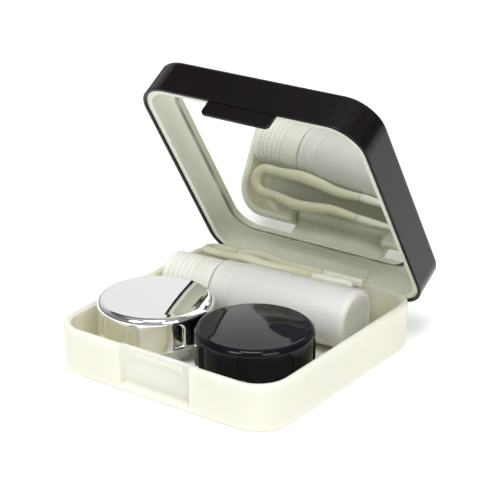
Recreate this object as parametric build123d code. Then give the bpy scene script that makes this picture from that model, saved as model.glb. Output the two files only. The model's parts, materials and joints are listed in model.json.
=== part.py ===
"""Contact lens travel case.

A square tray with a hinged mirror lid holds a two-well lens case with screw caps,
a dropper bottle lying on its side and a pair of soft-tipped tweezers.

Row frame: X runs along the front edge (+X to the right), +Y to the hinge side, +Z up.
The origin is the middle of the tray's flat underside. Millimetres.
The lid is built shut and then turned open about its hinge pin.
"""
from build123d import *
import math
import os

# ---- tray ----
case_width = 70.0
case_depth = 71.4
corner_radius = 9.8
tray_height = 12.9
tray_wall = 2.1
tray_floor = 1.8
tray_foot_round = 2.0
tray_rim_round = 1.0
tray_inner_round = 1.4
rim_step_width = 0.55
rim_step_depth = 0.5

# ---- finger scoop and catch on the tray's front wall ----
scoop_width = 22.4
scoop_depth = 1.95
scoop_floor_height = 2.2
scoop_round = 1.3
scoop_wall = 1.0
catch_width = 16.0
catch_height = 1.2
catch_rise = 0.25
catch_below_rim = 1.5

# ---- hinge ----
hinge_inset = 3.3
hinge_height = 7.0
hinge_pin_radius = 1.0
hinge_pin_length = 39.0
hinge_running_gap = 0.06
hinge_barrel_radius = 2.1
hinge_lug_width = 30.0
hinge_side_gap = 0.4
hinge_lug_front = 0.2
hinge_boss_width = 5.0
hinge_boss_front = 2.8
hinge_boss_height = 12.5
notch_floor = 4.3
lid_open_angle = 58.1

# ---- lid cover (outer shell) ----
closed_height = 23.8
lid_gap = 0.2
cover_wall = 1.0
cover_top = 1.2
cover_edge_round = 1.5

# ---- latch tab on the cover ----
tab_width = 21.0
tab_drop = 4.3
tab_thickness = 0.9
tab_setback = 0.5
tab_root = 1.3
tab_corner_round = 1.3

# ---- lid liner, mirror and its tape ----
liner_gap = 0.05
liner_wall = 1.55
liner_rim_step = 0.55
liner_ceiling = 18.7
liner_cove = 2.9
liner_roof_gap = 0.2
mirror_width = 58.6
mirror_length = 58.2
mirror_corner = 7.0
mirror_forward = 0.9
mirror_thickness = 1.3
mirror_sunk = 0.15
mirror_pocket_gap = 0.15
tape_thickness = 0.5
tape_margin = 2.3

# ---- two-well lens case ----
left_well_x = -16.6
right_well_x = 15.2
wells_y = -13.5
well_radius = 12.2
well_wall = 1.2
well_bowl_floor = 1.5
well_height = 12.75
web_width = 10.0
web_thickness = 1.6
rest_gap = 0.05
collar_gap = 0.5
collar_wall = 1.0
collar_height = 1.5

# ---- lens case screw caps ----
cap_radius = 15.4
cap_skirt_bottom = 7.6
cap_edge_height = 9.6
cap_dome_rise = 0.5
cap_shoulder_round = 1.4
cap_wall = 1.5
cap_top = 1.2
flute_count = 8
flute_width = 3.0
flute_depth = 0.7
flute_height = 6.4
flute_lip = 1.1
left_flute_angle = 16.0
right_flute_angle = 22.0
insert_gap = 0.05
insert_wall = 0.85
insert_top = 0.5
insert_raise = 0.6
seal_gap = 0.1
seal_thickness = 0.65
seal_radius = 12.6

# ---- screw threads ----
lens_thread_pitch = 3.0
lens_thread_rise = 0.55
lens_thread_base = 1.3
lens_thread_crest = 0.7
lens_thread_length = 4.0
lens_thread_start = 9.5
insert_thread_start = 9.3
bottle_thread_pitch = 2.8
bottle_thread_rise = 0.5
bottle_thread_length = 4.2

# ---- bottle ----
bottle_length = 57.8
bottle_radius = 8.3
bottle_wall = 1.0
bottle_centre_x = -2.3
bottle_centre_y = 15.0
bottle_yaw = 4.0
bottle_foot_round = 1.4
bottle_foot_ring = 6.4
bottle_foot_sink = 0.5
bottle_shoulder_round = 1.2
grip_radius = 7.9
grip_length = 7.2
grip_ring_count = 5
grip_groove_width = 0.55
grip_groove_depth = 0.35
neck_radius = 5.3
neck_bore = 4.1
cradle_thickness = 1.6
cradle_height = 3.4
cradle_spacing = 26.0
cradle_shift = 5.0
cradle_half_length = 6.6
cradle_gap = 0.12

# ---- bottle cap, its seal and the dropper plug ----
bottle_cap_length = 15.4
bottle_cap_radius = 7.4
bottle_cap_wall = 1.2
bottle_cap_gap = 0.3
bottle_cap_round = 1.0
cap_ring_count = 6
cap_ring_zone = 10.2
cap_groove_width = 0.75
cap_groove_depth = 0.4
bottle_seal_thickness = 0.6
bottle_seal_radius = 5.9
bottle_seal_hole = 3.1
plug_flange = 0.6
plug_gap = 0.03
plug_depth = 5.0
plug_nozzle_radius = 2.5
plug_nozzle_rise = 0.5
plug_hole_radius = 0.6

# ---- tweezers ----
tweezer_end_x = -29.6
tweezer_y = 25.5
tweezer_z = 15.05
tweezer_yaw = 2.2
tweezer_tilt = 13.0
tweezer_height = 2.4
bow_radius = 4.9
bow_length = 9.0
arm_thickness = 2.8
arm_end_thickness = 2.2
arm_belly_y = 3.7
arm_end_y = 3.0
arm_length = 28.0
arm_joint_gap = 0.15
peg_length = 4.0
peg_thickness = 1.0
peg_height = 1.2
tip_length = 12.5
tip_thickness = 2.0
tip_end_thickness = 1.2
tip_end_y = 2.7
tip_height = 2.6

# ---- derived ----
hinge_y = case_depth / 2 - hinge_inset
hinge_z = hinge_height
inner_width = case_width - 2 * tray_wall
inner_depth = case_depth - 2 * tray_wall
lid_rim = tray_height + lid_gap
liner_rim = lid_rim + liner_rim_step
liner_outer = cover_wall + liner_gap
liner_inset = liner_outer + liner_wall
liner_roof = closed_height - cover_top - liner_roof_gap
mirror_face = liner_ceiling + mirror_sunk
mirror_back = mirror_face + mirror_thickness
case_rest = tray_floor + rest_gap
well_top = case_rest + well_height
cap_edge_top = cap_skirt_bottom + cap_edge_height
cap_inner_radius = cap_radius - cap_wall
cap_ceiling = cap_edge_top - cap_top
insert_radius = cap_inner_radius - insert_gap
insert_bore = insert_radius - insert_wall
insert_roof = cap_ceiling - insert_gap
bottle_z = tray_floor + rest_gap + bottle_radius
hinge_axis = Axis((0, hinge_y, hinge_z), (1, 0, 0))
bottle_place = Location((bottle_centre_x, bottle_centre_y, bottle_z), (0, 0, bottle_yaw))
tweezer_place = Location((tweezer_end_x, tweezer_y, tweezer_z), (0, 0, tweezer_yaw))
tweezer_place = tweezer_place * Location((0, 0, 0), (-tweezer_tilt, 0, 0))


def rounded_block(width, depth, radius, low, high, y=0.0):
    sketch = RectangleRounded(width, depth, radius)
    return Pos(0, y, low) * extrude(sketch, amount=high - low)


def box(x0, x1, y0, y1, z0, z1):
    block = Box(x1 - x0, y1 - y0, z1 - z0)
    return Pos((x0 + x1) / 2, (y0 + y1) / 2, (z0 + z1) / 2) * block


def edges_at(shape, axis, value):
    """Edges that lie flat in the plane where the given axis (0 X, 1 Y, 2 Z) has this value."""
    def flat(edge):
        bounds = edge.bounding_box()
        ends = (tuple(bounds.min)[axis], tuple(bounds.max)[axis])
        return all(abs(end - value) < 1e-4 for end in ends)

    return shape.edges().filter_by(flat)


def screw_thread(radius, rise, base, crest, pitch, length, start, angle=0.0):
    """A right-handed ridge. A positive rise stands outwards, a negative one inwards."""
    path = Helix(pitch=pitch, height=length, radius=radius)
    plane = Plane(origin=path @ 0, x_dir=(1, 0, 0), z_dir=path % 0)
    inner = -math.copysign(0.2, rise)
    slope = base / 2
    points = [(inner, -slope), (rise, -crest / 2), (rise, crest / 2), (inner, slope)]
    profile = plane * make_face(Polyline(*points, close=True))
    ridge = sweep(profile, path=path, is_frenet=True)
    return Pos(0, 0, start) * Rot(0, 0, angle) * ridge


def save(shape, name, colour):
    solids = shape.solids()
    part = solids[0] if len(solids) == 1 else shape
    part.label = name
    part.color = Color(colour)
    export_step(part, f"parts/{name}.step")
    print(f"{name}: {len(solids)} solid, volume {sum(s.volume for s in solids):.1f}")


os.makedirs("parts", exist_ok=True)

# ---------------- tray ----------------
tray = rounded_block(case_width, case_depth, corner_radius, 0, tray_height)
tray = fillet(edges_at(tray, 2, 0), tray_foot_round)
tray = fillet(edges_at(tray, 2, tray_height), tray_rim_round)
hollow = rounded_block(inner_width, inner_depth, corner_radius - tray_wall, tray_floor, tray_height + 1)
hollow = fillet(edges_at(hollow, 2, tray_floor), tray_inner_round)
tray -= hollow
step_inset = 2 * (tray_wall - rim_step_width)
step_corner = corner_radius - tray_wall + rim_step_width
tray -= rounded_block(case_width - step_inset, case_depth - step_inset, step_corner,
                      tray_height - rim_step_depth, tray_height + 1)

# the front wall bends inwards behind the finger scoop
front_y = -case_depth / 2
scoop_face = front_y + scoop_depth
bulge = box(-scoop_width / 2 - scoop_wall, scoop_width / 2 + scoop_wall, front_y + tray_wall - 0.3,
            scoop_face + scoop_wall, tray_floor - 0.3, tray_height - rim_step_depth)
bulge = fillet(bulge.edges().filter_by(Axis.Z).group_by(Axis.Y)[-1], 0.6)
tray += bulge
scoop = box(-scoop_width / 2, scoop_width / 2, front_y - 3, scoop_face, scoop_floor_height, tray_height + 3)
scoop_edges = scoop.edges().filter_by(lambda e: abs(e.center().Y - scoop_face) < 1e-4
                                      and e.center().Z < tray_height + 2)
scoop = fillet(scoop_edges, scoop_round)
tray -= scoop
catch_top = tray_height - catch_below_rim
catch = box(-catch_width / 2, catch_width / 2, scoop_face - catch_rise, scoop_face + 0.3,
            catch_top - catch_height, catch_top)
tray += catch

# two bosses carry the hinge pin, with the lid's lug between them
lug_half = hinge_lug_width / 2
boss_in = lug_half + hinge_side_gap
for side in (-1, 1):
    x0, x1 = sorted((side * boss_in, side * (boss_in + hinge_boss_width)))
    boss = box(x0, x1, hinge_y - hinge_boss_front, hinge_y + hinge_inset - tray_wall + 0.3,
               tray_floor - 0.3, hinge_boss_height)
    boss = fillet(boss.edges().filter_by(Axis.X).group_by(Axis.Z)[-1].sort_by(Axis.Y)[0], 1.0)
    tray += boss
tray -= box(-boss_in, boss_in, hinge_y, case_depth / 2 + 1, notch_floor, tray_height + 1)
pin_hole = Pos(0, hinge_y, hinge_z) * Rot(0, 90, 0) * Cylinder(hinge_pin_radius, hinge_pin_length)
tray -= pin_hole

# low collars round the wells and two cradle ribs under the bottle
for x in (left_well_x, right_well_x):
    outer = well_radius + collar_gap + collar_wall
    ring = Pos(x, wells_y, tray_floor - 0.3) * extrude(Circle(outer), amount=collar_height + 0.3)
    ring -= Pos(x, wells_y, tray_floor - 1) * extrude(Circle(well_radius + collar_gap), amount=9)
    web_half = web_width / 2 + 0.6
    ring -= box(left_well_x, right_well_x, wells_y - web_half, wells_y + web_half, 0, 9)
    tray += ring
bottle_axis_cut = Rot(0, 90, 0) * Cylinder(bottle_radius + cradle_gap, bottle_length)
for side in (-1, 1):
    rib_x = side * cradle_spacing / 2 + cradle_shift
    rib = box(rib_x - cradle_thickness / 2, rib_x + cradle_thickness / 2,
              -cradle_half_length, cradle_half_length, -bottle_radius - rest_gap - 0.3, -bottle_radius + cradle_height)
    tray += bottle_place * (rib - bottle_axis_cut)
save(tray, "tray", "ivory")

hinge_pin = Pos(0, hinge_y, hinge_z) * Rot(0, 90, 0) * Cylinder(hinge_pin_radius, hinge_pin_length)
save(hinge_pin, "hinge_pin", "gray")

# ---------------- lid, built shut ----------------
cover = rounded_block(case_width, case_depth, corner_radius, lid_rim, closed_height)
cover = fillet(edges_at(cover, 2, closed_height), cover_edge_round)
cover_hollow = rounded_block(case_width - 2 * cover_wall, case_depth - 2 * cover_wall,
                             corner_radius - cover_wall, lid_rim - 1, closed_height - cover_top)
cover_hollow = fillet(edges_at(cover_hollow, 2, closed_height - cover_top), 0.8)
cover -= cover_hollow
cover = fillet(edges_at(cover, 2, lid_rim), 0.25)
tab_outer = front_y + tab_setback
tab = box(-tab_width / 2, tab_width / 2, tab_outer, tab_outer + tab_thickness,
          lid_rim - tab_drop, lid_rim + tab_root)
tab = fillet(tab.edges().filter_by(Axis.Y).group_by(Axis.Z)[0], tab_corner_round)
tab = fillet(edges_at(tab, 1, tab_outer).group_by(Axis.Z)[0], 0.3)
cover += tab
save(cover.rotate(hinge_axis, -lid_open_angle), "lid_cover", "black")

liner_width = case_width - 2 * liner_outer
liner_depth = case_depth - 2 * liner_outer
liner = rounded_block(liner_width, liner_depth, corner_radius - liner_outer, liner_rim, liner_roof)
liner = fillet(edges_at(liner, 2, liner_roof), 0.9)
room = rounded_block(case_width - 2 * liner_inset, case_depth - 2 * liner_inset,
                     corner_radius - liner_inset, liner_rim - 1, liner_ceiling)
room = fillet(edges_at(room, 2, liner_ceiling), liner_cove)
liner -= room
pocket = 2 * mirror_pocket_gap
liner -= rounded_block(mirror_width + pocket, mirror_length + pocket, mirror_corner + mirror_pocket_gap,
                       liner_ceiling - 0.1, mirror_back + tape_thickness, -mirror_forward)
liner -= box(-tab_width / 2 - 0.3, tab_width / 2 + 0.3, front_y, tab_outer + tab_thickness + 0.15,
             liner_rim - 1, lid_rim + tab_root + 0.3)
lug_front = hinge_y - hinge_lug_front
lug_back = case_depth / 2 - liner_outer
lug = box(-lug_half, lug_half, lug_front, lug_back, hinge_z, liner_ceiling)
lug = fillet(lug.edges().filter_by(Axis.Z).group_by(Axis.Y)[0], 0.5)
barrel = Pos(0, hinge_y, hinge_z) * Rot(0, 90, 0) * Cylinder(hinge_barrel_radius, hinge_lug_width)
liner += lug + barrel
liner -= Pos(0, hinge_y, hinge_z) * Rot(0, 90, 0) * Cylinder(hinge_pin_radius + hinge_running_gap, case_width)
save(liner.rotate(hinge_axis, -lid_open_angle), "lid_liner", "lightgray")

mirror = rounded_block(mirror_width, mirror_length, mirror_corner, mirror_face, mirror_back, -mirror_forward)
mirror = chamfer(edges_at(mirror, 2, mirror_face), 0.3)
save(mirror.rotate(hinge_axis, -lid_open_angle), "mirror", "lightblue")
tape = rounded_block(mirror_width - 2 * tape_margin, mirror_length - 2 * tape_margin, mirror_corner - 2,
                     mirror_back, mirror_back + tape_thickness, -mirror_forward)
save(tape.rotate(hinge_axis, -lid_open_angle), "mirror_tape", "white")

# ---------------- two-well lens case ----------------
bowl_radius = well_radius - well_wall
bowl_floor = case_rest + well_bowl_floor
well = Pos(0, 0, case_rest) * extrude(Circle(well_radius), amount=well_height)
well = fillet(edges_at(well, 2, case_rest), 0.6)
bowl = Pos(0, 0, bowl_floor) * extrude(Circle(bowl_radius), amount=well_height)
bowl = fillet(edges_at(bowl, 2, bowl_floor), 4.5)
well -= bowl
well = fillet(edges_at(well, 2, well_top), 0.35)
well += screw_thread(well_radius, lens_thread_rise, lens_thread_base, lens_thread_crest, lens_thread_pitch,
                     lens_thread_length, lens_thread_start)
web = box(left_well_x + bowl_radius, right_well_x - bowl_radius,
          wells_y - web_width / 2, wells_y + web_width / 2, case_rest, case_rest + web_thickness)
web = fillet(web.edges().filter_by(Axis.X).group_by(Axis.Z)[-1], 0.5)
lens_case = Pos(left_well_x, wells_y, 0) * well
lens_case += Pos(right_well_x, wells_y, 0) * well
web -= Pos(left_well_x, wells_y, 0) * Cylinder(bowl_radius + 0.4, 60)
web -= Pos(right_well_x, wells_y, 0) * Cylinder(bowl_radius + 0.4, 60)
lens_case += web
save(lens_case, "lens_case", "whitesmoke")

# ---------------- lens case caps ----------------
flat_radius = cap_radius - cap_shoulder_round
dome_top = cap_edge_top + cap_dome_rise
dome_radius = (flat_radius ** 2 + cap_dome_rise ** 2) / (2 * cap_dome_rise)
dome_centre = dome_top - dome_radius
shoulder_z = dome_centre + math.sqrt((dome_radius - cap_shoulder_round) ** 2 - flat_radius ** 2)
spread = dome_radius / (dome_radius - cap_shoulder_round)
touch = (flat_radius * spread, 0, dome_centre + (shoulder_z - dome_centre) * spread)
turn = math.atan2(touch[2] - shoulder_z, touch[0] - flat_radius) / 2
shoulder_mid = (flat_radius + cap_shoulder_round * math.cos(turn), 0,
                shoulder_z + cap_shoulder_round * math.sin(turn))
lean = math.atan2(touch[0], touch[2] - dome_centre) / 2
dome_mid = (dome_radius * math.sin(lean), 0, dome_centre + dome_radius * math.cos(lean))
outline = Polyline((0, 0, dome_top), (0, 0, cap_skirt_bottom), (cap_radius, 0, cap_skirt_bottom),
                   (cap_radius, 0, shoulder_z)).edges()
outline += [ThreePointArc((cap_radius, 0, shoulder_z), shoulder_mid, touch)]
outline += [ThreePointArc(touch, dome_mid, (0, 0, dome_top))]
shell = revolve(make_face(outline), axis=Axis.Z)
shell = fillet(edges_at(shell, 2, cap_skirt_bottom), 0.3)
shell -= Pos(0, 0, cap_skirt_bottom - 1) * extrude(
    Circle(cap_inner_radius), amount=cap_ceiling - cap_skirt_bottom + 1)
flute_low = cap_skirt_bottom + flute_lip
flute_face = cap_radius - flute_depth
flute = box(flute_face, cap_radius + 2, -flute_width / 2, flute_width / 2,
            flute_low, flute_low + flute_height)
flute = fillet(flute.edges().filter_by(Axis.X).group_by(Axis.Z)[-1], flute_width / 2 - 0.15)
insert = Pos(0, 0, cap_skirt_bottom + insert_raise) * extrude(
    Circle(insert_radius), amount=insert_roof - cap_skirt_bottom - insert_raise)
insert -= extrude(Circle(insert_bore), amount=insert_roof - insert_top)
insert_turn = (insert_thread_start - lens_thread_start + lens_thread_pitch / 2) * 360 / lens_thread_pitch
insert += screw_thread(insert_bore, -lens_thread_rise, lens_thread_base, lens_thread_crest, lens_thread_pitch,
                       lens_thread_length, insert_thread_start, insert_turn)
seal_low = insert_roof - insert_top - seal_gap - seal_thickness
seal = Pos(0, 0, seal_low) * extrude(Circle(seal_radius), amount=seal_thickness)
for name, x, angle, colour in (("left", left_well_x, left_flute_angle, "silver"),
                               ("right", right_well_x, right_flute_angle, "black")):
    fluted = shell
    for i in range(flute_count):
        fluted -= Rot(0, 0, angle + i * 360 / flute_count) * flute
    here = Pos(x, wells_y, 0)
    save(here * fluted, f"{name}_cap_shell", colour)
    save(here * insert, f"{name}_cap_insert", "whitesmoke")
    save(here * seal, f"{name}_cap_seal", "lightgray")

# ---------------- bottle, built along +Z from its base at 0, then laid down ----------------
lay = bottle_place * Location((bottle_length / 2, 0, 0)) * Rot(0, -90, 0)
body_top = bottle_length - bottle_cap_length - bottle_cap_gap - grip_length
grip_top = body_top + grip_length
seal_high = bottle_length - bottle_cap_wall - 0.05
seal_base = seal_high - bottle_seal_thickness
flange_top = seal_base - 0.05
mouth = flange_top - plug_flange
body = extrude(Circle(bottle_radius), amount=body_top)
body = fillet(edges_at(body, 2, 0), bottle_foot_round)
body = fillet(edges_at(body, 2, body_top), 0.35)
body -= Pos(0, 0, -1) * extrude(Circle(bottle_foot_ring), amount=1 + bottle_foot_sink)
grip = Pos(0, 0, body_top - 1) * extrude(Circle(grip_radius), amount=grip_length + 1)
grip = fillet(edges_at(grip, 2, grip_top), bottle_shoulder_round)
for i in range(grip_ring_count):
    z = body_top + 0.7 + i * (grip_length - bottle_shoulder_round - 0.7) / grip_ring_count
    groove = Pos(0, 0, z) * extrude(Circle(grip_radius + 1), amount=grip_groove_width)
    groove -= Pos(0, 0, z) * extrude(Circle(grip_radius - grip_groove_depth), amount=grip_groove_width)
    grip -= groove
neck = Pos(0, 0, grip_top - 1) * extrude(Circle(neck_radius), amount=mouth - grip_top + 1)
body += grip + neck
room_radius = bottle_radius - bottle_wall
inside = Pos(0, 0, bottle_foot_sink + bottle_wall) * extrude(
    Circle(room_radius), amount=body_top - bottle_foot_sink - 1.6)
inside = fillet(edges_at(inside, 2, bottle_foot_sink + bottle_wall), 0.8)
grip_room = Pos(0, 0, body_top - 2) * extrude(
    Circle(grip_radius - bottle_wall - 0.2), amount=grip_length + 0.6)
inside += fillet(edges_at(grip_room, 2, body_top + grip_length - 1.4), 1.2)
body -= inside
body -= Pos(0, 0, grip_top - 3) * extrude(Circle(neck_bore), amount=mouth)
thread_start = grip_top + 2.2
body += screw_thread(neck_radius, bottle_thread_rise, 1.1, 0.6, bottle_thread_pitch, bottle_thread_length,
                     thread_start)
save(lay * body, "bottle_body", "whitesmoke")

plug = Pos(0, 0, mouth) * extrude(Circle(neck_radius - 0.1), amount=plug_flange)
plug += Pos(0, 0, mouth - plug_depth) * extrude(Circle(neck_bore - plug_gap), amount=plug_depth + 0.1)
plug = fillet(edges_at(plug, 2, mouth - plug_depth), 0.4)
nozzle = Cone(plug_nozzle_radius, plug_nozzle_radius - 0.6, plug_nozzle_rise + 0.1,
              align=(Align.CENTER, Align.CENTER, Align.MIN))
plug += Pos(0, 0, flange_top - 0.1) * nozzle
plug -= Pos(0, 0, mouth - plug_depth - 1) * extrude(Circle(neck_bore - 0.9), amount=plug_depth)
plug -= Pos(0, 0, mouth - plug_depth - 1) * extrude(Circle(plug_hole_radius), amount=plug_depth + 5)
save(lay * plug, "bottle_plug", "whitesmoke")

cap_low = bottle_length - bottle_cap_length
bottle_cap = Pos(0, 0, cap_low) * extrude(Circle(bottle_cap_radius), amount=bottle_cap_length)
bottle_cap = fillet(edges_at(bottle_cap, 2, bottle_length), bottle_cap_round)
bottle_cap = fillet(edges_at(bottle_cap, 2, cap_low), 0.3)
for i in range(cap_ring_count):
    z = bottle_length - cap_ring_zone + i * (cap_ring_zone - bottle_cap_round - 0.4) / cap_ring_count
    groove = Pos(0, 0, z) * extrude(Circle(bottle_cap_radius + 1), amount=cap_groove_width)
    groove -= Pos(0, 0, z) * extrude(Circle(bottle_cap_radius - cap_groove_depth), amount=cap_groove_width)
    bottle_cap -= groove
cap_bore = neck_radius + bottle_thread_rise + 0.25
bottle_cap -= Pos(0, 0, cap_low - 1) * extrude(
    Circle(cap_bore), amount=bottle_cap_length + 1 - bottle_cap_wall)
cap_thread_start = thread_start + 0.6
cap_turn = (cap_thread_start - thread_start + bottle_thread_pitch / 2) * 360 / bottle_thread_pitch
bottle_cap += screw_thread(cap_bore, -bottle_thread_rise, 1.1, 0.6, bottle_thread_pitch, bottle_thread_length,
                           cap_thread_start, cap_turn)
save(lay * bottle_cap, "bottle_cap", "whitesmoke")

bottle_seal = Pos(0, 0, seal_base) * extrude(Circle(bottle_seal_radius) - Circle(bottle_seal_hole),
                                             amount=bottle_seal_thickness)
save(lay * bottle_seal, "bottle_cap_seal", "lightgray")

# ---------------- tweezers, built flat along +X from the joined end at 0 ----------------
half = tweezer_height / 2
leg_end = bow_length - arm_joint_gap
slot_half = bow_radius - arm_thickness
plan = Pos(bow_radius, 0) * Circle(bow_radius)
plan += Pos(bow_radius + bow_length / 2, 0) * Rectangle(bow_length, 2 * bow_radius)
bow = Pos(0, 0, -half) * extrude(plan, amount=tweezer_height)
for level in (half, -half):
    bow = fillet(edges_at(bow, 2, level), 0.5)
bow -= box(leg_end, bow_length * 3, -bow_radius - 1, bow_radius + 1, -half - 1, half + 1)
bow -= Pos(bow_radius, 0, 0) * Cylinder(slot_half, 20)
bow -= box(bow_radius, bow_length + 5, -slot_half, slot_half, -half - 1, half + 1)
save(tweezer_place * bow, "tweezer_bow", "wheat")

arm_end_x = bow_length + arm_length
line_y = [bow_radius - arm_thickness / 2, arm_belly_y, arm_end_y]
line_x = [bow_length, bow_length + arm_length * 0.4, arm_end_x]
outer_y = [line_y[0] + arm_thickness / 2, line_y[1] + arm_thickness / 2, line_y[2] + arm_end_thickness / 2]
inner_y = [line_y[0] - arm_thickness / 2, line_y[1] - arm_thickness / 2, line_y[2] - arm_end_thickness / 2]
outer_line = Spline(*zip(line_x, outer_y), tangents=((1, 0), (1, -0.04)))
inner_line = Spline(*zip(line_x, inner_y), tangents=((1, 0), (1, -0.02)))
arm_face = make_face([outer_line, Line(outer_line @ 1, inner_line @ 1), inner_line,
                      Line(inner_line @ 0, outer_line @ 0)])
arm = Pos(0, 0, -half) * extrude(arm_face, amount=tweezer_height)
for level in (half, -half):
    arm = fillet(edges_at(arm, 2, level).filter_by(lambda e: e.length > arm_length / 2), 0.5)
peg = box(arm_end_x - 0.5, arm_end_x + peg_length,
          arm_end_y - peg_thickness / 2, arm_end_y + peg_thickness / 2, -peg_height / 2, peg_height / 2)
arm += peg
tip_x = [arm_end_x, arm_end_x + tip_length]
tip_root_half = tip_thickness / 2 + 0.15
tip_end_half = tip_end_thickness / 2
tip_slope = (1, -0.02)
tip_outer = Spline((tip_x[0], arm_end_y + tip_root_half), (tip_x[1], tip_end_y + tip_end_half),
                   tangents=(tip_slope, tip_slope))
tip_inner = Spline((tip_x[0], arm_end_y - tip_root_half), (tip_x[1], tip_end_y - tip_end_half),
                   tangents=(tip_slope, tip_slope))
tip_face = make_face([tip_outer, Line(tip_outer @ 1, tip_inner @ 1), tip_inner,
                      Line(tip_inner @ 0, tip_outer @ 0)])
tip = Pos(0, 0, -tip_height / 2) * extrude(tip_face, amount=tip_height)
tip = fillet(tip.edges().filter_by(Axis.Z).group_by(Axis.X)[-1], 0.5)
tip -= box(arm_end_x - 1, arm_end_x + peg_length + 0.05, arm_end_y - peg_thickness / 2 - 0.02,
           arm_end_y + peg_thickness / 2 + 0.02, -peg_height / 2 - 0.02, peg_height / 2 + 0.02)
save(tweezer_place * arm, "tweezer_arm_rear", "wheat")
save(tweezer_place * tip, "tweezer_tip_rear", "lightyellow")
save(tweezer_place * arm.mirror(Plane.XZ), "tweezer_arm_front", "wheat")
save(tweezer_place * tip.mirror(Plane.XZ), "tweezer_tip_front", "lightyellow")
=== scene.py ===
# %% [markdown]
# # A contact lens travel case in Blender
# This lesson dresses a finished CAD model of a square travel case: an ivory tray with a
# black mirror lid, two screw caps (one chrome, one black), a cloudy dropper bottle and a
# pair of cream tweezers. The CAD model fixes every size and place, and Blender adds the
# looks. The first step loads that model as a frame that nothing here may move.

# %% Load the frame
import json
import math
import bmesh
import bpy
from mathutils import Matrix, Vector


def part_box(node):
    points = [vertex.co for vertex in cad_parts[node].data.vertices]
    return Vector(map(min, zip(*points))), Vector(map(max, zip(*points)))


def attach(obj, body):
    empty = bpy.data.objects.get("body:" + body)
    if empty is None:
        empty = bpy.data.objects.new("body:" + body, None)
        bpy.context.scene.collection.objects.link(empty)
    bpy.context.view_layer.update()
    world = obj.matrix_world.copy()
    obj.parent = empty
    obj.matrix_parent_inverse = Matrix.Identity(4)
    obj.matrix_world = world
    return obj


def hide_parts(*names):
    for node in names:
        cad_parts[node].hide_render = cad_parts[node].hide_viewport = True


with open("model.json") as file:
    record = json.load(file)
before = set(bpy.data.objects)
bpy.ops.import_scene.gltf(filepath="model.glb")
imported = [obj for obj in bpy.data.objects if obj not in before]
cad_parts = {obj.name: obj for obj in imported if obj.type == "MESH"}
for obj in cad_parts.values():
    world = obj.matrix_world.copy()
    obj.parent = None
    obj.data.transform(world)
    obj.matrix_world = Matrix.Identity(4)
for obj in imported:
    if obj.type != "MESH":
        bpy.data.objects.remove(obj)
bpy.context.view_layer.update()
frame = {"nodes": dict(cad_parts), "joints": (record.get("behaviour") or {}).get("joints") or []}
nodes = frame["nodes"]
mm = 0.001
print("nodes:", ", ".join(sorted(nodes)))

# %% [markdown]
# Every finish below is a node material. Wiring nodes by hand takes many lines, so one
# small class wraps a socket and answers to Python's own signs: `1 - mask` adds a Math
# node. A second class holds the material itself, with one method that adds any node.

# %% Shader maths as Python
class Wire:
    """A value on its way through a material."""

    def __init__(self, finish, socket):
        self.finish = finish
        self.socket = socket

    def maths(self, operation, first, second=0.0):
        return self.finish.add("ShaderNodeMath", {0: first, 1: second}, operation=operation)

    def __add__(self, other):
        return self.maths("ADD", self, other)

    def __sub__(self, other):
        return self.maths("SUBTRACT", self, other)

    def __rsub__(self, other):
        return self.maths("SUBTRACT", other, self)

    def __mul__(self, other):
        return self.maths("MULTIPLY", self, other)

    def __truediv__(self, other):
        return self.maths("DIVIDE", self, other)

    def __pow__(self, other):
        return self.maths("POWER", self, other)

    def clipped(self):
        return self.finish.add("ShaderNodeClamp", {0: self})

    __radd__ = __add__
    __rmul__ = __mul__


class Board:
    """A node tree that nodes are added to."""

    def __init__(self, tree):
        self.tree = tree

    def add(self, kind, sockets=None, out=0, stops=None, **settings):
        """Any node: its settings first, then the values or wires of its sockets."""
        node = self.tree.nodes.new(kind)
        for name, value in settings.items():
            setattr(node, name, value)
        for position, colour in stops or []:
            element = node.color_ramp.elements.new(position)
            element.color = (*colour, 1)
        if stops:
            node.color_ramp.elements.remove(node.color_ramp.elements[0])
            node.color_ramp.elements.remove(node.color_ramp.elements[-1])
        for name, value in (sockets or {}).items():
            self.feed(node.inputs[name], value)
        return Wire(self, node.outputs[out])

    def feed(self, socket, value):
        if isinstance(value, Wire):
            self.tree.links.new(value.socket, socket)
        else:
            socket.default_value = value


class Finish(Board):
    """A material that is being put together, with a Principled shader at its end."""

    def __init__(self, name, **constants):
        self.material = bpy.data.materials.new(name)
        self.material.use_nodes = True
        super().__init__(self.material.node_tree)
        self.tree.nodes.clear()
        self.shader = self.tree.nodes.new("ShaderNodeBsdfPrincipled")
        end = self.tree.nodes.new("ShaderNodeOutputMaterial")
        self.tree.links.new(self.shader.outputs[0], end.inputs["Surface"])
        for socket, value in constants.items():
            self.shader.inputs[socket.replace("_", " ")].default_value = value

    def set(self, **wires):
        """What changes over the surface, fed into the shader's own sockets."""
        for name, wire in wires.items():
            self.feed(self.shader.inputs[name.replace("_", " ")], wire)

    def place(self):
        return self.add("ShaderNodeTexCoord", out="Object")

    def noise(self, scale, detail=2.0, rough=0.5, where=None):
        sockets = {"Vector": where or self.place(), "Scale": scale, "Detail": detail, "Roughness": rough}
        return self.add("ShaderNodeTexNoise", sockets)

    def blend(self, mask, low, high):
        node = self.tree.nodes.new("ShaderNodeMix")
        node.data_type = "RGBA"
        self.feed(node.inputs[0], mask)
        self.feed(node.inputs[6], low)
        self.feed(node.inputs[7], high)
        return Wire(self, node.outputs[2])

    def ramp(self, value, low, high):
        """0 below low, 1 above high, with a straight slope in between."""
        sockets = {"Value": value, "From Min": low, "From Max": high}
        return self.add("ShaderNodeMapRange", sockets)

    def bump(self, height, strength, distance):
        sockets = {"Height": height, "Strength": strength, "Distance": distance}
        self.set(Normal=self.add("ShaderNodeBump", sockets))


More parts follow.
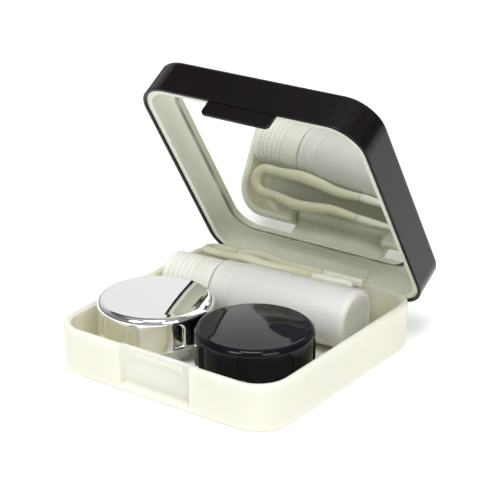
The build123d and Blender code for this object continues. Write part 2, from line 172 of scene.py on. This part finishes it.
def paint(finish, *names):
    """Give CAD nodes their finish."""
    for name in names:
        node = nodes[name]
        node.data.materials.clear()
        node.data.materials.append(finish.material)
    print(finish.material.name, "on", ", ".join(names))


def grey(level):
    return (level, level, level, 1)


# %% [markdown]
# The CAD joints say more than the boxes do: where the lid's hinge is, which way the bottle
# lies and how the tweezers are turned. Reading them here keeps every new piece in place if
# the CAD model changes, and the pieces can be modelled square and upright first.

# %% Places from the joints
joints = {joint["name"]: joint for joint in frame["joints"]}


def aligned(along, across, origin):
    """The matrix that lays local X along one direction and local Y near another."""
    x = Vector(along).normalized()
    z = x.cross(Vector(across)).normalized()
    y = z.cross(x)
    return Matrix.Translation(origin) @ Matrix((x, y, z)).transposed().to_4x4()


hinge = joints["lid_hinge"]
hinge_point = Vector(hinge["pos_m"])
open_angle = math.radians(-hinge["range_deg"][0])
open_turn = Matrix.Rotation(open_angle, 4, Vector(hinge["axis"]))
lid_open = Matrix.Translation(hinge_point) @ open_turn @ Matrix.Translation(-hinge_point)

bottle_joint = joints["bottle_cap_turn"]
bottle_middle = Vector(bottle_joint["pos_m"])
bottle_axis = Vector(bottle_joint["axis"])
bottle_length = 57.8
bottle_base = bottle_middle - bottle_axis * bottle_length / 2 * mm
bottle_laid = Matrix.Translation(bottle_base) @ bottle_axis.to_track_quat("Z", "Y").to_matrix().to_4x4()

front_root = Vector(joints["squeeze_front"]["pos_m"])
rear_root = Vector(joints["squeeze_rear"]["pos_m"])
tweezer_up = Vector(joints["squeeze_front"]["axis"])
tweezer_across = (rear_root - front_root).normalized()
tweezer_along = tweezer_across.cross(tweezer_up)
tweezer_root = (front_root + rear_root) / 2
tweezers_laid = aligned(tweezer_along, tweezer_across, tweezer_root)
print("hinge", [round(v, 4) for v in hinge_point], "lid open by", round(math.degrees(open_angle), 1))
print("bottle base", [round(v, 4) for v in bottle_base])

# %% [markdown]
# Round parts are turned from an outline, as on a lathe. The outline is a list of corners,
# each with its own rounding, because sharp corners look false on moulded plastic: real ones
# always carry a small radius that catches the light.

# %% Outlines and turning
def softened(corners, pieces=4):
    """An outline through (out, up, round) corners, each rounded by an arc."""
    line = []
    for i, (out, up, radius) in enumerate(corners):
        here = Vector((out, up))
        if radius == 0 or i in (0, len(corners) - 1):
            line.append(here)
            continue
        back = (Vector(corners[i - 1][:2]) - here).normalized()
        ahead = (Vector(corners[i + 1][:2]) - here).normalized()
        half = back.angle(ahead) / 2
        centre = here + (back + ahead).normalized() * radius / math.sin(half)
        start = here + back * radius / math.tan(half) - centre
        end = here + ahead * radius / math.tan(half) - centre
        sweep = math.pi - 2 * half
        for step in range(pieces + 1):
            share = step / pieces
            mix = (start * math.sin((1 - share) * sweep) + end * math.sin(share * sweep)) / math.sin(sweep)
            line.append(centre + mix)
    return line


def turned(outline, steps, close=False):
    """Spin an outline of (out, up) points, in millimetres, round the Z axis."""
    mesh = bmesh.new()
    verts = [mesh.verts.new((out * mm, 0, up * mm)) for out, up in outline]
    pairs = list(zip(verts, verts[1:]))
    if close:
        pairs.append((verts[-1], verts[0]))
    edges = [mesh.edges.new(pair) for pair in pairs]
    bmesh.ops.spin(mesh, geom=verts + edges, cent=(0, 0, 0), axis=(0, 0, 1), dvec=(0, 0, 0),
                   angle=math.tau, steps=steps, use_merge=True)
    bmesh.ops.remove_doubles(mesh, verts=mesh.verts, dist=0.002 * mm)
    bmesh.ops.recalc_face_normals(mesh, faces=mesh.faces)
    return mesh


def delivered(mesh, name, finishes, body, stands_for, place=None, sharp=50):
    """Turn a bmesh into a smooth object that rides on its body and stands for CAD nodes."""
    if place is not None:
        bmesh.ops.transform(mesh, matrix=place, verts=mesh.verts)
    data = bpy.data.meshes.new(name)
    mesh.to_mesh(data)
    mesh.free()
    data.shade_smooth()
    data.set_sharp_from_angle(angle=math.radians(sharp))
    for finish in finishes:
        data.materials.append(finish.material)
    piece = bpy.data.objects.new(name, data)
    bpy.context.scene.collection.objects.link(piece)
    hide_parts(*stands_for)
    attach(piece, body)
    print(name, len(data.polygons), "faces")
    return piece


# %% [markdown]
# Moulded plastic is never one flat value. The mould leaves a very fine texture that breaks
# up the shine, the colour drifts a little over the part, and handling polishes some spots.
# A helper adds all three to any plastic, so each finish below only says how much.

# %% Moulded plastic
def moulded(name, colour, shade, rough, grain=0.06, texture=0.05, patch=60.0, **constants):
    """A plastic with drifting colour, uneven shine and the mould's fine texture."""
    made = Finish(name, **constants)
    drift = made.noise(patch, 3.0)
    fine = made.noise(1800.0, 2.0)
    smear = made.noise(190.0, 4.0, 0.6)
    made.set(Base_Color=made.blend(made.ramp(drift, 0.35, 0.65), (*colour, 1), (*shade, 1)))
    made.set(Roughness=rough + (smear - 0.5) * grain + (fine - 0.5) * grain)
    made.bump(fine, texture, 0.0001)
    return made


ivory = moulded("ivory_plastic", (0.76, 0.75, 0.64), (0.745, 0.73, 0.62), 0.3, 0.08, 0.06,
                Subsurface_Weight=0.7, Subsurface_Radius=(0.006, 0.0052, 0.004),
                Subsurface_Scale=1.0, IOR=1.5)
paint(ivory, "tray")

# %% [markdown]
# The lid's cover is polished black, and a gloss black part shows its reflections far more
# than its colour. So the colour stays nearly black with a trace of warmth, and the shine
# carries faint fingerprints and hairline scratches.

# %% Gloss black
def gloss_black(name, colour, shade, rough):
    """A polished black plastic with faint smears and hairlines in its shine."""
    made = Finish(name, IOR=1.31, Specular_IOR_Level=0.5)
    drift = made.noise(45.0, 2.0)
    smear = made.noise(130.0, 5.0, 0.65)
    streaks = made.add("ShaderNodeMapping", {"Vector": made.place(), "Scale": (40.0, 900.0, 300.0)})
    hair = made.ramp(made.noise(6.0, 3.0, 0.7, streaks), 0.66, 0.74)
    made.set(Base_Color=made.blend(drift, (*colour, 1), (*shade, 1)))
    made.set(Roughness=rough + made.ramp(smear, 0.5, 0.8) * 0.06 + hair * 0.05)
    made.bump(smear, 0.012, 0.0005)
    return made


cover_black = gloss_black("cover_black", (0.006, 0.0045, 0.0055), (0.008, 0.006, 0.007), 0.12)
paint(cover_black, "lid_cover")

# %% [markdown]
# The liner is the pale frame inside the lid that carries the mirror. It is a satin moulding,
# greyer and greener than the tray. Little light sinks into it, so its scatter is kept small
# and the corners stay crisp. A plain grey would do, but the drift keeps it from looking flat.

# %% Lid liner
liner_grey = moulded("liner_grey", (0.75, 0.77, 0.64), (0.72, 0.74, 0.61), 0.34, 0.08, 0.08,
                     Subsurface_Weight=0.12, Subsurface_Radius=(0.004, 0.004, 0.003),
                     Subsurface_Scale=0.5, IOR=1.48)
paint(liner_grey, "lid_liner")

# %% [markdown]
# The mirror is a silvered glass plate with a ground edge. The face is a full metal with
# almost no roughness. The ground edge is its own finish with painted light and shade: noise
# breaks it into short streaks of painted near-black shade and painted bright metallic glint.

# %% Mirror
silver = Finish("mirror_silver", Metallic=1.0, Base_Color=(0.88, 0.90, 0.87, 1))
silver.set(Roughness=0.012 + silver.ramp(silver.noise(90.0, 4.0, 0.6), 0.5, 0.8) * 0.012)
ground_edge = Finish("mirror_edge", IOR=1.52, Roughness=0.12)
# Painted light and shade: noise picks short bright metallic streaks of painted glint on a near-black
# painted shade.
painted_shade_and_glint_dashes = ground_edge.ramp(ground_edge.noise(260.0, 2.0, 0.6), 0.53, 0.58)
ground_edge.set(Base_Color=ground_edge.blend(painted_shade_and_glint_dashes, (0.03, 0.03, 0.028, 1), (0.85, 0.87, 0.84, 1)))
ground_edge.set(Metallic=painted_shade_and_glint_dashes * 0.7)

mirror_width = 58.6 * mm
mirror_length = 58.2 * mm
mirror_corner = 7.0 * mm
mirror_thickness = 1.3 * mm
mirror_bevel = 1.0 * mm
mirror_face = 18.85 * mm
mirror_forward = -0.9 * mm
plate = bmesh.new()
bmesh.ops.create_grid(plate, x_segments=1, y_segments=1, size=0.5)
bmesh.ops.scale(plate, vec=(mirror_width, mirror_length, 1), verts=plate.verts)
bmesh.ops.bevel(plate, geom=plate.verts[:], offset=mirror_corner, offset_type="OFFSET", segments=14,
                profile=0.5, affect="VERTICES", material=-1)
grown = bmesh.ops.extrude_face_region(plate, geom=plate.faces[:])
raised = [item for item in grown["geom"] if isinstance(item, bmesh.types.BMVert)]
bmesh.ops.translate(plate, vec=(0, 0, mirror_thickness), verts=raised)
bmesh.ops.recalc_face_normals(plate, faces=plate.faces)
lower_loop = [edge for edge in plate.edges if all(v.co.z < 0.1 * mm for v in edge.verts)]
bmesh.ops.bevel(plate, geom=lower_loop, offset=mirror_bevel, offset_type="OFFSET", segments=1, profile=0.5,
                affect="EDGES", material=-1)
for face in plate.faces:
    face.material_index = 0 if abs(face.normal.z) > 0.99 else 1
bmesh.ops.translate(plate, vec=(0, mirror_forward, mirror_face), verts=plate.verts)
delivered(plate, "mirror_glass", [silver, ground_edge], "lid", ["mirror"], lid_open, 20)

# %% [markdown]
# The left cap is plastic with a thin plated coat of chrome. A full metal with very little
# roughness is enough. The plating follows small waves in the plastic, so a weak wide bump
# bends the reflections a little, which a perfect mirror finish would not do.

# %% Cap finishes
chrome = Finish("cap_chrome", Metallic=1.0, Base_Color=(0.90, 0.905, 0.90, 1))
chrome_smear = chrome.noise(150.0, 4.0, 0.6)
chrome.set(Roughness=0.03 + chrome.ramp(chrome_smear, 0.45, 0.8) * 0.03)
chrome.bump(chrome.noise(60.0, 2.0), 0.02, 0.0006)
cap_black = gloss_black("cap_black", (0.004, 0.0035, 0.006), (0.005, 0.004, 0.008), 0.04)

# %% [markdown]
# Each screw cap is a turned shell with a very slightly domed top, a soft shoulder and eight
# finger flutes. The flutes are pressed into the turned wall: every point of the wall knows
# how deep it lies inside the nearest flute and is moved inwards by that much, which leaves
# rounded pocket edges, as the mould does.

# %% Screw caps
flute_count = 8
flute_half_width = 1.5
flute_depth = 0.8
flute_height = 6.4
flute_lip = 1.1
flute_soft = 0.34
cap_wall = 1.5
cap_top = 1.2
dome_rise = 0.7
shoulder = 1.8


def flute_share(across, up, low):
    """0 outside a flute and 1 on its floor, for a point across and up from its middle."""
    round_up = low + flute_height - flute_half_width
    side = abs(across) if up < round_up else math.hypot(across, up - round_up)
    inside = min(flute_half_width - side, up - low)
    share = min(max(inside / flute_soft + 0.5, 0.0), 1.0)
    return share * share * (3 - 2 * share)


def cap_shell(node, name, finish, body, flute_angle):
    """Turn one cap to the size of its CAD node and press its flutes in."""
    low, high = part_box(node)
    radius = (high.x - low.x) / 2 / mm
    height = (high.z - low.z) / mm
    edge_top = height - dome_rise
    flat = radius - shoulder
    dome = (flat * flat + dome_rise * dome_rise) / (2 * dome_rise)
    top = []
    for i in range(16):
        out = flat * i / 16
        top.append((out, height - dome + math.sqrt(dome * dome - out ** 2)))
    bend = softened([(flat * 0.9, edge_top + 0.1, 0), (radius, edge_top - 0.02, shoulder * 0.96),
                     (radius, 3, 0)], 12)
    levels = 38
    wall_top = bend[-2].y
    wall = [(radius, wall_top + (0.4 - wall_top) * i / levels) for i in range(1, levels + 1)]
    bore = radius - cap_wall
    foot = softened([(radius, 0.6, 0), (radius, 0, 0.3), (bore, 0, 0.2), (bore, 0.5, 0)])
    ceiling = edge_top - cap_top
    inner = softened([(bore, 0.5, 0), (bore, ceiling, 0.5), (0, ceiling, 0)])
    outline = top + [*bend[1:-1]] + wall + [*foot[1:-1]] + inner
    shell = turned(outline, 448)
    for vert in shell.verts:
        out = math.hypot(vert.co.x, vert.co.y) / mm
        if out < radius - 0.2 or vert.co.z / mm < flute_lip - 0.3:
            continue
        bearing = math.degrees(math.atan2(vert.co.y, vert.co.x)) - flute_angle
        spacing = 360 / flute_count
        off = (bearing + spacing / 2) % spacing - spacing / 2
        share = flute_share(math.radians(off) * out, vert.co.z / mm, flute_lip)
        pressed = 1 - share * flute_depth / out
        vert.co.x *= pressed
        vert.co.y *= pressed
    place = Matrix.Translation(((low.x + high.x) / 2, (low.y + high.y) / 2, low.z))
    delivered(shell, name, [finish], body, [node], place, 60)


cap_shell("left_cap_shell", "chrome_cap", chrome, "left_cap", 16.0)
cap_shell("right_cap_shell", "black_cap", cap_black, "right_cap", 22.0)

# %% [markdown]
# The bottle is soft cloudy polyethylene. Light goes in, scatters and comes out again. It
# could be made as rough glass alone, but that turns grey, so most of the light scatters in
# the wall and only a fifth passes through it. The thicker cap and tweezers only scatter.

# %% Cloudy plastics
def cloudy(name, colour, shade, rough, clear, glow):
    """A milky plastic: clear is how much light passes, glow how much scatters inside."""
    return moulded(name, colour, shade, rough, 0.05, 0.02, 80.0, IOR=1.45, Transmission_Weight=clear,
                   Subsurface_Weight=glow, Subsurface_Radius=(0.003, 0.003, 0.0025), Subsurface_Scale=0.5)


bottle_milk = cloudy("bottle_milk", (0.97, 0.96, 0.865), (0.96, 0.95, 0.85), 0.34, 0.2, 0.8)
cap_milk = cloudy("bottle_cap_milk", (0.80, 0.795, 0.73), (0.79, 0.785, 0.715), 0.28, 0.0, 1.0)
paint(bottle_milk, "bottle_plug")

# %% [markdown]
# The bottle is turned in one go: a recessed foot, the straight body, a band of fine grip
# rings and the neck, then back down the inside. Real rings on soft plastic are shallow
# waves and not square cuts, so they are a cosine along the wall.

# %% Bottle body
body_radius = 8.3
wall = 1.0
foot_ring = 6.4
cap_length = 15.4
cap_gap = 0.3
grip_radius = 7.95
grip_length = 7.2
body_top = bottle_length - cap_length - cap_gap - grip_length
grip_top = body_top + grip_length
neck_radius = 5.3
neck_bore = 4.1
mouth = 55.3


def ringed(radius, start, end, count, depth, per_ring=8):
    """A stretch of wall with shallow rounded rings on it."""
    stretch = []
    for i in range(count * per_ring + 1):
        up = start + (end - start) * i / (count * per_ring)
        wave = (1 - math.cos(math.tau * i / per_ring)) / 2
        stretch.append((radius - depth * wave ** 1.5, up))
    return stretch


body_outline = softened([(0, 0.5, 0), (foot_ring, 0.5, 0.3), (foot_ring + 0.35, 0, 0.25),
                         (body_radius, 0, 1.3),
                         (body_radius, body_top, 0.3), (grip_radius, body_top + 0.12, 0.1),
                         (grip_radius, body_top + 0.5, 0)], 6)
body_outline += [Vector(p) for p in ringed(grip_radius, body_top + 0.7, grip_top - 1.4, 5, 0.2)]
body_outline += softened([(grip_radius, grip_top - 1.3, 0), (grip_radius, grip_top, 1.15),
                          (neck_radius, grip_top, 0.2), (neck_radius, mouth, 0.2), (neck_bore, mouth, 0.2),
                          (neck_bore, grip_top - 1.2, 0.4), (grip_radius - wall, grip_top - 1.2, 1.0),
                          (grip_radius - wall, body_top - 0.8, 0.3),
                          (body_radius - wall, body_top - 1.6, 0.3),
                          (body_radius - wall, 1.5, 0.9), (0, 1.5, 0)], 6)
bottle = turned(body_outline, 128)
delivered(bottle, "bottle", [bottle_milk], "bottle", ["bottle_body"], bottle_laid, 50)

# %% [markdown]
# The bottle's cap is a plain screw cap with six wide finger rings near its closed end. It is
# turned about the same axis as the bottle, from one closed outline that goes up the outside
# and back down the bore, so its wall is real and it can slide off the neck.

# %% Bottle cap
cap_radius = 7.4
cap_low = bottle_length - cap_length
bore = neck_radius + 0.75
ring_zone = 10.2
cap_outline = softened([(bore, cap_low + 0.3, 0), (bore, cap_low, 0.15), (cap_radius, cap_low, 0.35),
                        (cap_radius, cap_low + 3, 0)])
rings = ringed(cap_radius, bottle_length - ring_zone, bottle_length - 1.3, 6, 0.38)
cap_outline += [Vector(p) for p in rings]
cap_outline += softened([(cap_radius, bottle_length - 1.25, 0), (cap_radius, bottle_length, 0.95),
                         (0, bottle_length, 0)], 7)
cap_outline += softened([(0, bottle_length - 1.2, 0), (bore, bottle_length - 1.2, 0.5),
                         (bore, cap_low + 0.4, 0)])
bottle_lid = turned(cap_outline, 128, close=True)
delivered(bottle_lid, "bottle_screw_cap", [cap_milk], "bottle_cap", ["bottle_cap"],
          bottle_laid, 50)

# %% [markdown]
# The tweezers are cream plastic and their sleeves are paler silicone. Both are thick and
# milky, so they are cloudy plastics that let no light straight through.

# %% Tweezer plastics
cream = cloudy("tweezer_cream", (0.76, 0.745, 0.575), (0.74, 0.72, 0.545), 0.26, 0.0, 0.9)
silicone = cloudy("tip_silicone", (0.85, 0.845, 0.75), (0.84, 0.83, 0.73), 0.28, 0.0, 1.0)

# %% [markdown]
# The tweezers are one springy moulding: a U-shaped bow and two arms that bulge, narrow to a
# waist and run out straight into soft sleeves. Each piece is a rounded section carried along
# a line. A ring is set square to the line at every station and joined to the one before, so
# the width can change on the way, as it does on the real arms.

# %% Tweezers
bow_reach = 8.925
bow_round = 3.5
section_width = 2.8
section_height = 2.4
arm_run = 28.0
tip_run = 12.45
around = 24


def hump(x):
    """How far an arm lifts near its root."""
    return 0.6 * math.sin(math.pi * x / 15) ** 2 if 0 < x < 15 else 0.0


def swept(stations):
    """Join oval rings along (x, y, heading, width, height) stations into a closed solid."""
    mesh = bmesh.new()
    last = None
    upright_ring = Matrix(((0, 0, 1, 0), (1, 0, 0, 0), (0, 1, 0, 0), (0, 0, 0, 1)))
    for x, y, heading, width, height in stations:
        size = Matrix.Diagonal((width / 2 * mm, height / 2 * mm, 1, 1))
        heading_turn = Matrix.Rotation(heading, 4, "Z")
        place = Matrix.Translation((x * mm, y * mm, hump(x) * mm)) @ heading_turn @ upright_ring @ size
        made = bmesh.ops.create_circle(mesh, cap_ends=False, segments=around, radius=1, matrix=place)
        ring = list({edge for vert in made["verts"] for edge in vert.link_edges})
        if last is None:
            bmesh.ops.contextual_create(mesh, geom=ring)
        else:
            bmesh.ops.bridge_loops(mesh, edges=last + ring)
        last = ring
    bmesh.ops.contextual_create(mesh, geom=last)
    bmesh.ops.recalc_face_normals(mesh, faces=mesh.faces)
    return mesh


def along(points, steps):
    """Stations on a smooth line through (x, y, width, height) points."""
    line = []
    for i in range(len(points) - 1):
        before = points[max(i - 1, 0)]
        start, end = points[i], points[i + 1]
        after = points[min(i + 2, len(points) - 1)]
        for step in range(steps + (i == len(points) - 2)):
            t = step / steps
            value = [b + (c - a) * t / 2 + (2 * a - 5 * b + 4 * c - d) * t * t / 2
                     + (3 * b - a - 3 * c + d) * t ** 3 / 2
                     for a, b, c, d in zip(before, start, end, after)]
            line.append(value)
    stations = []
    for i, (x, y, width, height) in enumerate(line):
        near, far = line[max(i - 1, 0)], line[min(i + 1, len(line) - 1)]
        stations.append((x, y, math.atan2(far[1] - near[1], far[0] - near[0]), width, height))
    return stations


bow_centre = bow_round + section_width / 2 - bow_reach
bow_line = [(bow_centre * i / 4, -bow_round, math.pi, section_width, section_height) for i in range(5)]
for i in range(1, 24):
    bend = math.pi * i / 24
    bow_line.append((bow_centre - bow_round * math.sin(bend), -bow_round * math.cos(bend),
                     math.pi - bend, section_width * (1 + 0.12 * math.sin(bend)), section_height))
bow_line += [(bow_centre * (1 - i / 4), bow_round, 0, section_width, section_height) for i in range(5)]
delivered(swept(bow_line), "tweezer_spring_bow", [cream], "tweezers", ["tweezer_bow"],
          tweezers_laid, 60)

arm_points = [(0.0, 3.5, 2.8, 2.4), (3.0, 3.8, 3.0, 2.55), (8.0, 4.15, 3.3, 2.7), (14.0, 3.5, 3.2, 2.7),
              (19.0, 2.75, 2.9, 2.7), (24.0, 2.75, 2.5, 2.6), (arm_run, 3.0, 2.2, 2.4)]
tip_points = [(arm_run + 0.1, 3.0, 1.7, 1.9), (arm_run + 0.35, 3.0, 2.3, 2.6), (32.0, 2.98, 2.2, 2.6),
              (36.0, 2.86, 1.75, 2.6), (39.6, 2.74, 1.35, 2.5), (40.3, 2.71, 1.0, 2.0),
              (arm_run + tip_run, 2.7, 0.35, 1.0)]
lengths = {"arm": (arm_points, cream, "tweezer_plastic"), "tip": (tip_points, silicone, "tip_silicone")}
for side, name in ((-1, "front"), (1, "rear")):
    for part, (points, finish, slot) in lengths.items():
        sided = [(x, side * y, width, height) for x, y, width, height in points]
        delivered(swept(along(sided, 4)), f"tweezer_{part}_{name}_soft", [finish], f"tweezer_{name}",
                  [f"tweezer_{part}_{name}"], tweezers_laid, 60)

# %% [markdown]
# The lens case, the inner rings of the caps, the seals and the tape show only when a cap is
# off or the lens case is lifted. They keep their CAD shapes and get plain working finishes:
# white satin plastic, matt rubber and rough foam.

# %% Hidden plastics
white_plastic = moulded("white_plastic", (0.86, 0.86, 0.82), (0.84, 0.84, 0.80), 0.32, 0.08, 0.05,
                        Subsurface_Weight=0.15, Subsurface_Radius=(0.004, 0.004, 0.004),
                        Subsurface_Scale=0.5)
paint(white_plastic, "lens_case", "left_cap_insert", "right_cap_insert")
rubber = moulded("seal_rubber", (0.66, 0.67, 0.64), (0.62, 0.63, 0.6), 0.6, 0.1, 0.12)
paint(rubber, "left_cap_seal", "right_cap_seal", "bottle_cap_seal")
foam = moulded("tape_foam", (0.72, 0.72, 0.68), (0.65, 0.65, 0.61), 0.85, 0.1, 0.3)
paint(foam, "mirror_tape")

# %% [markdown]
# The hinge pin is drawn steel wire. Drawing leaves fine lines along the wire, so the noise
# that drives its roughness is stretched along the pin.

# %% Hinge pin
steel = Finish("pin_steel", Metallic=1.0, Base_Color=(0.55, 0.55, 0.56, 1))
drawn = steel.add("ShaderNodeMapping", {"Vector": steel.place(), "Scale": (20.0, 2500.0, 2500.0)})
steel.set(Roughness=0.24 + steel.noise(1.0, 3.0, 0.6, drawn) * 0.14)
paint(steel, "hinge_pin")

# %% [markdown]
# The studio floor is a plain white sheet. It glows a little, as a lit table does, so that it
# stays white and lifts the lower walls of the tray. It is a stage, not part of the object.

# %% Floor
floor_mesh = bmesh.new()
bmesh.ops.create_grid(floor_mesh, x_segments=1, y_segments=1, size=3.0)
floor_data = bpy.data.meshes.new("floor")
floor_mesh.to_mesh(floor_data)
floor_mesh.free()
floor = bpy.data.objects.new("floor", floor_data)
bpy.context.scene.collection.objects.link(floor)
floor_white = Finish("floor_white", Specular_IOR_Level=0.3, Roughness=0.55)
floor_white.set(Base_Color=floor_white.blend(floor_white.noise(4.0), grey(0.88), grey(0.90)))
floor_white.set(Emission_Color=grey(1.0), Emission_Strength=0.334)
floor_data.materials.append(floor_white.material)

# %% [markdown]
# Three softboxes and a wide window light the case. The overhead one is small and cool, and
# its reflection draws the highlight on each cap. The ceiling one is large and only fills the
# inside of the tray, so it is kept out of the reflections, as a maker would do with a flag.


# %% Lights
def softbox(name, place, aim, width, height, power, colour=(1, 1, 1)):
    """A rectangular light, sized in metres, that faces the point it is aimed at."""
    data = bpy.data.lights.new(name, "AREA")
    data.shape = "RECTANGLE"
    data.size = width
    data.size_y = height
    data.energy = power
    data.color = colour
    lamp = bpy.data.objects.new(name, data)
    lamp.location = place
    lamp.rotation_euler = (Vector(aim) - Vector(place)).to_track_quat("-Z", "Y").to_euler()
    bpy.context.scene.collection.objects.link(lamp)
    return lamp


middle = (0, 0, 0.015)
softbox("overhead", (0.06, -0.16, 0.62), middle, 0.26, 0.20, 1.38, (0.95, 0.97, 1.0))
softbox("right_side", (0.50, -0.22, 0.36), middle, 0.30, 0.30, 1.1)
ceiling = softbox("ceiling", (-0.03, 0.0, 0.72), middle, 0.50, 0.50, 2.3)
ceiling.visible_glossy = False
sun = bpy.data.objects.new("window", bpy.data.lights.new("window", "SUN"))
sun.data.energy = 0.75
sun.data.angle = math.radians(22)
sun.rotation_euler = Vector((0.12, 0.68, -0.72)).to_track_quat("-Z", "Y").to_euler()
bpy.context.scene.collection.objects.link(sun)

# %% [markdown]
# Gloss black and chrome show the room more than themselves, so the room is part of the look.
# It is worked out from the direction of view: four sides, each with its own brightness in
# four bands of height, and one value for the ceiling. The side behind the case is bright in
# its two middle bands, which the cap tops mirror, and dark above and below them. The levels
# were not picked one by one: a least-squares fit of brightness gave the first values, which
# were then rounded and in part trimmed. The first two softboxes, the window and the
# floor's glow got their strengths in the same way.

# %% Surround
world = bpy.data.worlds.new("surround")
world.use_nodes = True
sky = Board(world.node_tree)
direction = sky.add("ShaderNodeTexCoord", out="Generated")
level_way = sky.add("ShaderNodeVectorMath", {0: direction, 1: (1, 1, 0)}, operation="MULTIPLY")
level_way = sky.add("ShaderNodeVectorMath", {0: level_way}, operation="NORMALIZE")
height = sky.add("ShaderNodeSeparateXYZ", {0: direction}, out="Z")
front_bearing = 35.87
band_tops = (0.15, 0.4, 0.65, 0.85)
band_blend = 0.03
ceiling_level = 0.43
quarters = {0: (0.24, 0.38, 0.43, 0.34), 90: (0.18, 0.13, 0.25, 0.19),
            180: (0.09, 0.90, 0.90, 0.07), 270: (0.10, 0.22, 0.24, 0.14)}
sky_light = 0.0
for bearing, levels in quarters.items():
    angle = math.radians(bearing + front_bearing - 90)
    side_way = (math.cos(angle), math.sin(angle), 0)
    facing = sky.add("ShaderNodeVectorMath", {0: level_way, 1: side_way}, "Value", operation="DOT_PRODUCT")
    facing = facing.clipped()
    stops = []
    for top, below, above in zip(band_tops, levels, (*levels[1:], ceiling_level)):
        stops += [(top - band_blend, (below,) * 3), (top + band_blend, (above,) * 3)]
    band = sky.add("ShaderNodeValToRGB", {0: height}, stops=stops)
    sky_light = facing * facing * band + sky_light
sky.feed(world.node_tree.nodes["Background"].inputs["Color"], sky_light)
bpy.context.scene.world = world
bpy.context.scene.view_settings.view_transform = "Standard"

# %% [markdown]
# The camera stands to the right of the front edge and looks down a little, with a long
# lens from half a metre away, so that the sides stay nearly parallel.

# %% Camera
turn = math.radians(front_bearing)
tilt = math.radians(22.43)
roll = math.radians(-0.17)
aim = Vector((-16.66, 25.71, 15.0)) * mm
distance = 489.5 * mm
back = Vector((math.sin(turn) * math.cos(tilt), -math.cos(turn) * math.cos(tilt), math.sin(tilt)))
level = Vector((math.cos(turn), math.sin(turn), 0))
upright = back.cross(level)
right = level * math.cos(roll) + upright * math.sin(roll)
up = upright * math.cos(roll) - level * math.sin(roll)
camera = bpy.data.objects.new("camera", bpy.data.cameras.new("camera"))
stance = Matrix((right, up, back)).transposed().to_4x4()
camera.matrix_world = Matrix.Translation(aim + back * distance) @ stance
camera.data.lens = 126.5
camera.data.sensor_width = 36.0
camera.data.shift_x = 0.0134
camera.data.shift_y = 0.0139
camera.data.clip_start = 0.01
bpy.context.scene.collection.objects.link(camera)
bpy.context.scene.camera = camera
print("camera", round(distance / mm, 1), "mm from its aim")
